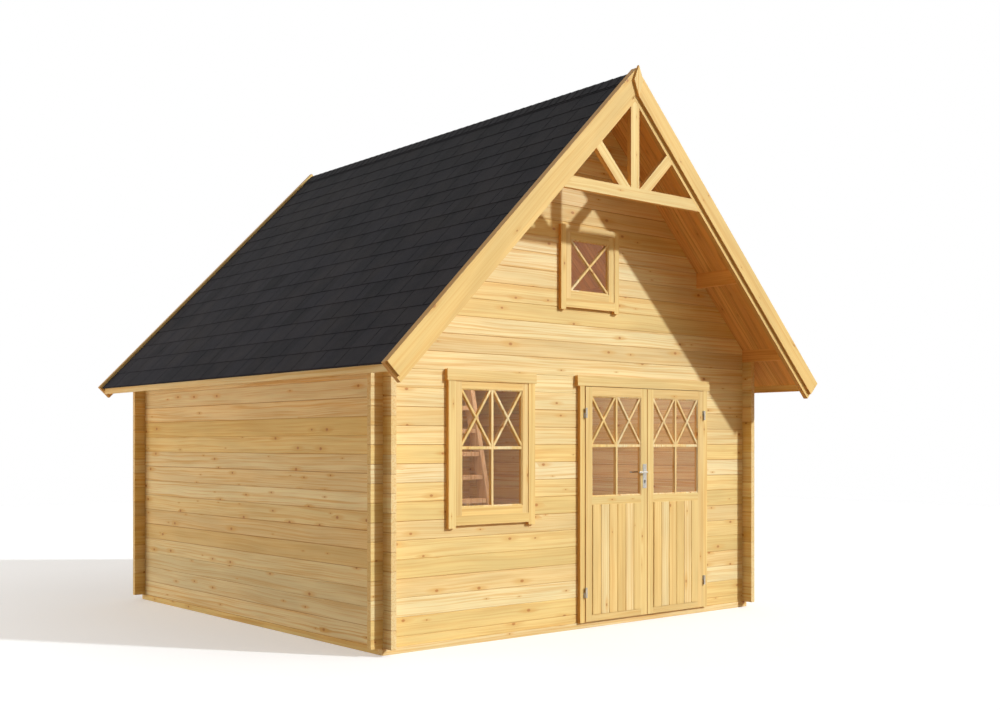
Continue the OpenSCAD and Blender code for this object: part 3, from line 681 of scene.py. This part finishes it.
def makeShingles():
    # one tab, repeated to a course, then to the right slope, over a sheet of felt
    s = shingles
    width = roofHigh.y - roofLow.y
    count = math.ceil(width / s["tabWidth"]) + 1
    courses = math.ceil(slopeRun / s["exposure"])
    tab = block("tab", (-s["headLap"], 0, 0),
                (s["exposure"], s["tabWidth"] - s["gap"], s["thick"]))
    # the butt lies on the course below
    pick(tab, "VERT", lambda v: v.co.x > 0)
    bpy.ops.transform.translate(value=(0, 0, s["thick"] * s["buttLift"]))
    leaveEdit()
    bevelWhere(tab, s["rounding"], lambda e: middleOf(e).x > 0.9 * s["exposure"] and
               middleOf(e).z > s["thick"])
    row = repeat(tab, count, (0, s["tabWidth"], 0))
    rows = []
    for course in range(courses):
        back = slopeRun - s["eaveInset"] - (course + 1) * s["exposure"]
        start = s["oddStart"] if course % 2 else s["evenStart"]
        rows.append(copyOf(row, (back, roofLow.y - s["tabWidth"] * start, 0)))
    bpy.data.objects.remove(row)
    slope = joined("shinglesRight", rows)
    cut(slope, (0, roofLow.y, 0), (0, -1, 0))
    cut(slope, (0, roofHigh.y, 0), (0, 1, 0))
    felt = block("felt", (0, roofLow.y, -s["lift"]),
                 (slopeRun - s["eaveInset"], roofHigh.y, s["felt"]))
    bevelWhere(felt, s["feltEdge"], lambda e: isAlong(e, 1) and middleOf(e).x > 1)
    slope = joined("shinglesRight", [slope, felt])
    tiltToSlope(slope, deckHigh.z + s["lift"])
    cut(slope, (0, 0, 0), (-1, 0, 0))
    cut(slope, (roofHigh.x, 0, 0), (1, 0, 0))
    return slope


ridgeFall = (-deckHigh.z - shingles["lift"]) * math.sin(pitch)
slopeShingle = makeShingle("roofShingle", shingles["tabWidth"], shingles["exposure"],
                           roofLow.y - shingles["tabWidth"] * shingles["evenStart"],
                           ridgeFall + slopeRun - shingles["eaveInset"], **slopeShade)
rightSlope = makeShingles()
leftSlope = mirrored(rightSlope, "shinglesLeft")
finish(rightSlope, "house", slopeShingle, ["shingles_right"])
finish(leftSlope, "house", slopeShingle, ["shingles_left"])
print("shingles laid,", len(rightSlope.data.polygons), "faces a slope")

ridgeCaps = {"reach": 0.125, "length": 0.19, "exposure": 0.0957, "thick": 0.005, "rise": 0.0055,
             "below": 0.004, "rounding": 0.001, "rowLength": 0.3, "rowStart": -3.2}


def makeRidgeCaps():
    # folded shingles over the ridge, each lapping the one behind
    c = ridgeCaps
    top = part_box("ridge_cap")[1].z - c["thick"] - c["below"]
    wing = block("wing", (0, 0, 0), (c["reach"], c["length"], c["thick"]))
    pick(wing, "VERT", lambda v: v.co.y < 0.5 * c["length"])
    bpy.ops.transform.translate(value=(0, 0, c["rise"]))
    leaveEdit()
    bevelWhere(wing, c["rounding"], lambda e: middleOf(e).y < 0.01 and middleOf(e).z > c["rise"])
    tiltToSlope(wing, top)
    cut(wing, (0, 0, 0), (-1, 0, 0))
    cap = joined("cap", [wing, mirrored(wing, "otherWing")])
    low, high = roofLow.y, roofHigh.y
    cap.data.transform(Matrix.Translation((0, low, 0)))
    caps = repeat(cap, int((high - low) / c["exposure"]), (0, c["exposure"], 0))
    cut(caps, (0, high, 0), (0, 1, 0))
    return caps


caps = makeRidgeCaps()
capShingle = makeShingle("ridgeShingle", ridgeCaps["exposure"], ridgeCaps["rowLength"], roofLow.y,
                         ridgeCaps["rowStart"], **capShade)  # one row holds both wings
finish(caps, "house", capShingle, ["ridge_cap"])
caps.name = "ridgeCaps"
print("ridge capped")

roofBoards = {"width": 0.0957, "groove": 0.004, "gap": 0.0006, "pastRidge": 0.1, "pastEave": 0.05}


def makeRoofBoards():
    # boards down the right slope, grooved below, cut upright at the ridge and the eave
    b = roofBoards
    depth = (deckHigh.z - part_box("ridge_purlin")[1].z) * math.cos(pitch)
    count = round((deckHigh.y - deckLow.y) / b["width"])
    step = (deckHigh.y - deckLow.y) / count
    board = block("board", (-b["pastRidge"], deckLow.y, -depth),
                  (deckHigh.x / math.cos(pitch) + b["pastEave"], deckLow.y + step - b["gap"], 0))
    bevelWhere(board, b["groove"], lambda e: isAlong(e, 0) and middleOf(e).z < -depth / 2)
    deck = repeat(board, count, (0, step, 0))
    tiltToSlope(deck, deckHigh.z)
    cut(deck, (0, 0, 0), (-1, 0, 0))
    cut(deck, (deckHigh.x, 0, 0), (1, 0, 0))
    deck.name = "roofBoardsRight"
    return deck, step


rightDeck, boardStep = makeRoofBoards()
leftDeck = mirrored(rightDeck, "roofBoardsLeft")
shadedDeckTones = {"Pale": tint(236, 188, 118), "Honey": tint(230, 174, 100), "Rose": tint(228, 172, 104),
             "Late Wood": tint(196, 142, 74)}  # painted shade: darker and more orange than the other boards, for the shade under the eaves
shadedDeckWood = woodMaterial("shadedDeckWood", "fallBoards", Width=boardStep, Start=deckLow.y, Seed=16.0,
                        **shadedDeckTones)
finish(rightDeck, "house", shadedDeckWood, ["roof_boards_right"])
finish(leftDeck, "house", shadedDeckWood, ["roof_boards_left"])
print("roof boarded")


# ---- floors

flooring = {"width": 0.12, "groove": 0.0015, "gap": 0.0008}


def makeFloor(name, node):
    # boards from front to back, side by side along x, bevelled above
    f = flooring
    low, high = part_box(node)
    count = round((high.x - low.x) / f["width"])
    step = (high.x - low.x) / count
    board = block(name, low, (low.x + step - f["gap"], high.y, high.z))
    bevelWhere(board, f["groove"], lambda e: isAlong(e, 1) and middleOf(e).z > low.z + 0.001)
    return repeat(board, count, (step, 0, 0)), step, low.x


def floorWood(name, step, start):
    material, tree, shader = newMaterial(name)
    place = addNode(tree, "TexCoord").outputs
    x, y, z = splitXyz(tree, place["Object"])
    faceX, faceY, faceZ = splitXyz(tree, place["Normal"])
    made = useGroup(tree, spruce, Vector=joinXyz(tree, y, x, z),
                    Normal=joinXyz(tree, faceY, faceX, faceZ), Width=step, Start=start, Seed=17.0)
    feed(tree, shader.inputs["Base Color"], made["Color"])
    feed(tree, shader.inputs["Roughness"], made["Roughness"])
    return material


for name, node in (("groundFloorBoards", "floor_boards"), ("loftFloorBoards", "loft_boards")):
    boards, step, start = makeFloor(name, node)
    finish(boards, "house", floorWood(name + "Wood", step, start), [node])
print("floors laid")


# ---- glazing bars and beads

# the backs keep the faces of bars that meet from lying in one plane
glazing = {"bar": 0.024, "cross": 0.020, "inset": 0.004, "rounding": 0.003, "bead": 0.011,
           "beadDepth": 0.010, "beadEdge": 0.005, "spare": 0.1, "uprightBack": 0.0003,
           "levelBack": 0.0007, "fallingBack": 0.0012, "risingBack": 0.002}


def barBlock(name, low, high):
    bar = block(name, low, high)
    size = Vector(high) - Vector(low)
    axis = 0 if size.x > size.z else 2
    return bevelWhere(bar, glazing["rounding"], lambda e: isAlong(e, axis))


def crossBar(centre, width, height, frontY, backY, lean):
    # one diagonal of a pane, trimmed to the pane
    long = math.hypot(width, height) + glazing["spare"]
    bar = barBlock("cross", (-long / 2, frontY, -glazing["cross"] / 2),
                   (long / 2, backY, glazing["cross"] / 2))
    bar.rotation_euler = (0, -lean * math.atan2(height, width), 0)
    bar.location = (centre[0], 0, centre[1])
    settle(bar)
    for sign in (-1, 1):
        cut(bar, (centre[0] + sign * width / 2, 0, 0), (sign, 0, 0))
        cut(bar, (0, 0, centre[1] + sign * height / 2), (0, 0, sign))
    return bar


def beadFrame(low, high, frontY):
    # a ring of bead round a pane: a plane, inset, opened, and drawn out to depth
    g = glazing
    centre = (low + high) / 2
    reach = (high - low) / 2
    onlySelect()
    bpy.ops.mesh.primitive_plane_add(size=1, location=(centre.x, frontY, centre.z),
                                     rotation=(math.radians(90), 0, 0))
    ring = bpy.context.object
    ring.scale = (high.x - low.x, high.z - low.z, 1)
    settle(ring)
    pick(ring, "FACE", lambda f: True)
    bpy.ops.mesh.inset(thickness=g["bead"], depth=0)
    bpy.ops.mesh.delete(type="FACE")
    bpy.ops.mesh.select_all(action="SELECT")
    bpy.ops.mesh.extrude_region_move(TRANSFORM_OT_translate={"value": (0, g["beadDepth"], 0)})
    bpy.ops.mesh.select_all(action="SELECT")
    bpy.ops.mesh.normals_make_consistent(inside=False)
    leaveEdit()

    def isInner(edge):
        m = middleOf(edge)
        away = max(abs(m.x - centre.x) - reach.x, abs(m.z - centre.z) - reach.z)
        return abs(m.y - frontY) < 1e-4 and away < -0.9 * g["bead"] and not isAlong(edge, 1)

    return bevelWhere(ring, g["beadEdge"], isInner)


def glaze(name, pane, sash, crosses, middleX=None, middleZ=None):
    # upright and level bars where they are given, crosses, and a bead on the outside
    g = glazing
    low, high = pane
    frontY, backY = sash[0].y + g["inset"], sash[1].y - g["inset"]
    half = g["bar"] / 2
    parts = [beadFrame(low, high, frontY)]
    if middleX is not None:
        parts.append(barBlock("upright", (middleX - half, frontY + g["uprightBack"], low.z),
                              (middleX + half, backY - g["uprightBack"], high.z)))
    if middleZ is not None:
        parts.append(barBlock("level", (low.x, frontY + g["levelBack"], middleZ - half),
                              (high.x, backY - g["levelBack"], middleZ + half)))
    for left, right, bottom, top in crosses:
        centre = ((left + right) / 2, (bottom + top) / 2)
        for lean, back in ((-1, g["fallingBack"]), (1, g["risingBack"])):
            parts.append(crossBar(centre, right - left, top - bottom, frontY + back, backY - back,
                                  lean))
    return joined(name, parts)


glazingLights = {"mainLevel": 0.50, "doorLevel": 0.505}  # the level bar's place in the pane's height


def barsFor(name, pane, sash, level, body, material):
    # four lights, with crosses in the upper two
    low, high = pane
    half = glazing["bar"] / 2
    middleX = (low.x + high.x) / 2
    middleZ = low.z + level * (high.z - low.z)
    crosses = [(low.x, middleX - half, middleZ + half, high.z),
               (middleX + half, high.x, middleZ + half, high.z)]
    bars = glaze(name, pane, sash, crosses, middleX, middleZ)
    return finish(bars, body, material)


barWood = woodMaterial("barWood", "z", bothSides=False, Width=0.14, Start=farStart, Seed=18.0,
                       **{"Edge Shade Share": 0.4})
barsFor("mainWindowBars", mainPane, mainSash, glazingLights["mainLevel"], "house", barWood)
for side in ("left", "right"):
    barsFor(side + "DoorBars", doorPanes[side], leaves[side], glazingLights["doorLevel"],
            side + "_door", barWood)
low, high = loftPane  # one light with one cross
loftBars = glaze("loftWindowBars", loftPane, loftSash, [(low.x, high.x, low.z, high.z)])
finish(loftBars, "house", barWood)
print("windows barred")


# ---- door panels

panelBoards = {"count": 6, "bevel": 0.0045, "gap": 0.0006}
panelTones = {"Pale": tint(249, 227, 167), "Honey": tint(242, 210, 136), "Rose": tint(244, 213, 150),
              "Late Wood": tint(228, 180, 100), "Knot Share": 0.3, "Knot Size": 0.0065}


def makePanel(side):
    # upright boards with bevelled edges over the lower half of a leaf
    p = panelBoards
    low, high = doorPanels[side]
    step = (high.x - low.x) / p["count"]
    board = block(side + "DoorBoards", low, (low.x + step - p["gap"], high.y, high.z))
    bevelWhere(board, p["bevel"], lambda e: isAlong(e, 2))
    return repeat(board, p["count"], (step, 0, 0)), step, low.x


for side in ("left", "right"):
    boards, step, start = makePanel(side)
    panelWood = woodMaterial(side + "PanelWood", "z", bothSides=False, Width=step, Start=start,
                             Seed=19.0, **panelTones)
    finish(boards, side + "_door", panelWood, [side + "_door_panel"])
print("door panels boarded")


# ---- lock cylinders and screws

lockLook = {
    "height": 1.165, "round": 0.0085, "body": 0.0100, "drop": 0.0165, "proud": 0.0022,
    "bodyBack": 0.0004, "rim": 0.0007, "dome": 0.0006, "margin": 0.0022,
    "keyway": (0.28, 1, 1.25), "slot": 0.0022, "sides": 28, "neck": 0.8, "bodyRound": 0.45,
    "bodySides": 4}
screwLook = {
    "radius": 0.0042, "proud": 0.0012, "rim": 0.0008, "dome": 0.0004, "margin": 0.0014,
    "recess": 0.0009, "sides": 16, "fromEnd": 0.012}
plateLow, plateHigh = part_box("handle_plates")


def disc(name, centre, radius, depth, sides):
    # a short round piece with its axis along Y
    onlySelect()
    bpy.ops.mesh.primitive_cylinder_add(vertices=sides, radius=radius, depth=depth, location=centre,
                                        rotation=(math.radians(90), 0, 0))
    piece = bpy.context.object
    piece.name = name
    return settle(piece)


def domedDisc(name, x, z, faceY, out, radius, look):
    # a disc with a domed rim whose flat middle is left selected; out is -1 or 1
    tipY = faceY + out * look["proud"]
    piece = disc(name, (x, (faceY + tipY) / 2, z), radius, look["proud"], look["sides"])
    pick(piece, "FACE", lambda f: abs(middleOf(f).y - tipY) < 1e-5)
    bpy.ops.mesh.inset(thickness=look["rim"], depth=0)
    bpy.ops.transform.translate(value=(0, out * look["dome"], 0))
    bpy.ops.mesh.inset(thickness=look["margin"], depth=0)
    return piece


def sink(depth):
    # presses the selected face in along Y and leaves edit mode
    bpy.ops.mesh.extrude_region_move(TRANSFORM_OT_translate={"value": (0, depth, 0)})
    leaveEdit()


def makeLock(name, x, z, faceY, out):
    # a profile cylinder: round plug over a narrow body, with a keyway
    look = lockLook
    plug = domedDisc("plug", x, z, faceY, out, look["round"], look)
    bpy.ops.transform.resize(value=look["keyway"],
                             center_override=(x, faceY + out * look["proud"], z))
    sink(-out * look["slot"])
    near, far = sorted((faceY, faceY + out * (look["proud"] - look["bodyBack"])))
    body = block("body", (x - look["body"] / 2, near, z - look["drop"] - look["body"] / 2),
                 (x + look["body"] / 2, far, z - look["round"] * look["neck"]))
    bevelWhere(body, look["body"] * look["bodyRound"],
               lambda e: isAlong(e, 1) and middleOf(e).z < z - look["drop"], look["bodySides"])
    return joined(name, [plug, body])


def makeScrew(x, z, faceY, out):
    head = domedDisc("screw", x, z, faceY, out, screwLook["radius"], screwLook)
    sink(-out * screwLook["recess"])
    return head


plateX = (plateLow.x + plateHigh.x) / 2
darkSteel = makeSteel("darkSteel", tint(122, 116, 108), tint(98, 92, 85))
screws = []
locks = []
for out, faceY in ((-1, plateLow.y), (1, plateHigh.y)):
    locks.append(makeLock("lock", plateX, lockLook["height"], faceY, out))
    for z in (plateLow.z + screwLook["fromEnd"], plateHigh.z - screwLook["fromEnd"]):
        screws.append(makeScrew(plateX, z, faceY, out))
finish(joined("plateScrews", screws), "left_door", steel)
finish(joined("lockCylinders", locks), "left_door", darkSteel)
print("lock fitted")


# ---- stage, light and camera

# bounce is what the floor throws back: paving throws little, and warm
stageLook = {"floor": 40.0, "below": 0.001, "lift": 0.30, "pale": (0.8, 0.8, 0.8, 1.0),
             "bounce": (0.34, 0.20, 0.09, 1.0)}


def straightRays(tree):
    # 1 for rays that the camera sends, also by way of glass or a mirror
    rays = addNode(tree, "LightPath").outputs
    return maths(tree, "MAXIMUM", rays["Is Camera Ray"],
                 maths(tree, "MAXIMUM", rays["Is Glossy Ray"], rays["Is Transmission Ray"]))


def makeStage():
    # a floor that looks white and lights the walls like paving
    onlySelect()
    bpy.ops.mesh.primitive_plane_add(size=stageLook["floor"], location=(0, 0, -stageLook["below"]))
    floor = settle(bpy.context.object)
    floor.name = "floor"
    material, tree, shader = newMaterial("paleFloor")
    shader.inputs["Roughness"].default_value = 0.9
    seen = straightRays(tree)
    feed(tree, shader.inputs["Base Color"], mixed(tree, seen, stageLook["bounce"], stageLook["pale"]))
    feed(tree, shader.inputs["Emission Color"], (1.0, 1.0, 1.0, 1.0))
    feed(tree, shader.inputs["Emission Strength"], maths(tree, "MULTIPLY", seen, stageLook["lift"]))
    floor.data.materials.append(material)


# azimuth 0 shines on the front, 90 on the right side
sunLook = {"azimuth": 35.0, "elevation": 27.0, "strength": 2.46, "spread": 2.5,
           "colour": (0.985, 1.065, 1.13)}
fillLook = {"azimuth": -128.0, "distance": 9.0, "wide": 8.0, "high": 2.2, "strength": 358.0,
            "colour": (1.0, 0.92, 0.85)}
# the sky is dimmed to the front left and raised to the front right
skyLook = {"low": 0.24, "high": 0.58, "lowColour": (1.0, 0.82, 0.62, 1.0),
           "highColour": (1.0, 0.98, 0.95, 1.0), "topAt": 0.8,
           "frontLeft": 0.15, "leftWay": (-0.707, -0.707, 0.0),
           "frontRight": 3.3, "rightWay": (0.6, -0.8, 0.0)}


def wayFrom(azimuth, elevation=0.0):
    turn, lift = math.radians(azimuth), math.radians(elevation)
    return Vector((math.sin(turn) * math.cos(lift), -math.cos(turn) * math.cos(lift), math.sin(lift)))


def makeSun(name, look):
    sun = bpy.data.objects.new(name, bpy.data.lights.new(name, "SUN"))
    bpy.context.collection.objects.link(sun)
    sun.data.energy = look["strength"]
    sun.data.angle = math.radians(look["spread"])
    sun.data.color = look["colour"]
    sun.rotation_mode = "QUATERNION"
    sun.rotation_quaternion = wayFrom(look["azimuth"], look["elevation"]).to_track_quat("Z", "Y")


def makeLamp(name, place, look):
    # a soft rectangle that lights but isn't seen
    lamp = bpy.data.objects.new(name, bpy.data.lights.new(name, "AREA"))
    bpy.context.collection.objects.link(lamp)
    lamp.location = place
    lamp.data.shape = "RECTANGLE"
    lamp.data.energy = look["strength"]
    lamp.data.size = look["wide"]
    lamp.data.size_y = look["high"]
    lamp.data.color = look["colour"]
    lamp.visible_camera = False
    lamp.visible_glossy = False
    lamp.visible_transmission = False
    return lamp


def makeFill():
    # a broad soft lamp that stands on the floor off the left side
    lamp = makeLamp("sideFill", (0, 0, 0), fillLook)
    away = wayFrom(fillLook["azimuth"])
    lamp.location = away * fillLook["distance"] + Vector((wallFace, 0, fillLook["high"] / 2))
    lamp.rotation_mode = "QUATERNION"
    lamp.rotation_quaternion = away.to_track_quat("Z", "Y")


def makeSky():
    # uneven soft light, with a white backdrop for the camera
    look = skyLook
    world = bpy.data.worlds.new("softSky")
    bpy.context.scene.world = world
    world.use_nodes = True
    tree = world.node_tree
    sky = tree.nodes["Background"]
    way = addNode(tree, "TexCoord").outputs["Generated"]
    toLeft = vectors(tree, "DOT_PRODUCT", way, look["leftWay"])
    toRight = vectors(tree, "DOT_PRODUCT", way, look["rightWay"])
    shade = maths(tree, "MULTIPLY", fade(tree, toLeft, 0.1, 0.8, 1.0, look["frontLeft"]),
                  fade(tree, toRight, 0.2, 0.9, 1.0, look["frontRight"]))
    rise = splitXyz(tree, way)[2]
    height = addNode(tree, "MapRange", rise, 0.0, look["topAt"], 0.0, 1.0).outputs[0]
    feed(tree, sky.inputs["Color"], mixed(tree, height, look["lowColour"], look["highColour"]))
    strength = addNode(tree, "MapRange", height, 0.0, 1.0, look["low"], look["high"]).outputs[0]
    feed(tree, sky.inputs["Strength"], maths(tree, "MULTIPLY", strength, shade))
    white = addNode(tree, "Background", (1.0, 1.0, 1.0, 1.0), 1.0)
    choice = addNode(tree, "MixShader", straightRays(tree), sky.outputs[0], white.outputs[0])
    feed(tree, tree.nodes["World Output"].inputs["Surface"], choice.outputs[0])


roomLook = {"place": (0.1, -1.0, 2.7), "wide": 2.0, "high": 1.2, "strength": 24.0,
            "colour": (1.0, 0.86, 0.84)}
loftLook = {"place": (0.3, 0.9, 3.3), "wide": 0.9, "high": 1.6, "strength": 7.0,
            "colour": (1.0, 0.82, 0.80)}


def makeRoomLamps():
    # soft light inside, for what the windows let in on a bright day
    makeLamp("roomLamp", roomLook["place"], roomLook)
    makeLamp("loftLamp", loftLook["place"], loftLook)


cameraLook = {"place": (-6.7437, -8.7843, 1.4736), "turn": 40.031, "lens": 43.35, "sensor": 36.0,
              "shift": 0.0886}


def makeCamera():
    # level, at eye height, with the view shifted up
    camera = bpy.data.objects.new("camera", bpy.data.cameras.new("camera"))
    bpy.context.collection.objects.link(camera)
    camera.location = cameraLook["place"]
    camera.rotation_euler = (math.radians(90), 0, -math.radians(cameraLook["turn"]))
    camera.data.sensor_width = cameraLook["sensor"]
    camera.data.lens = cameraLook["lens"]
    camera.data.shift_y = cameraLook["shift"]
    bpy.context.scene.camera = camera


makeStage()
makeSun("sun", sunLook)
makeFill()
makeSky()
makeRoomLamps()
makeCamera()
print("stage, lights and camera set")
bpy.context.scene.view_settings.view_transform = "Standard"
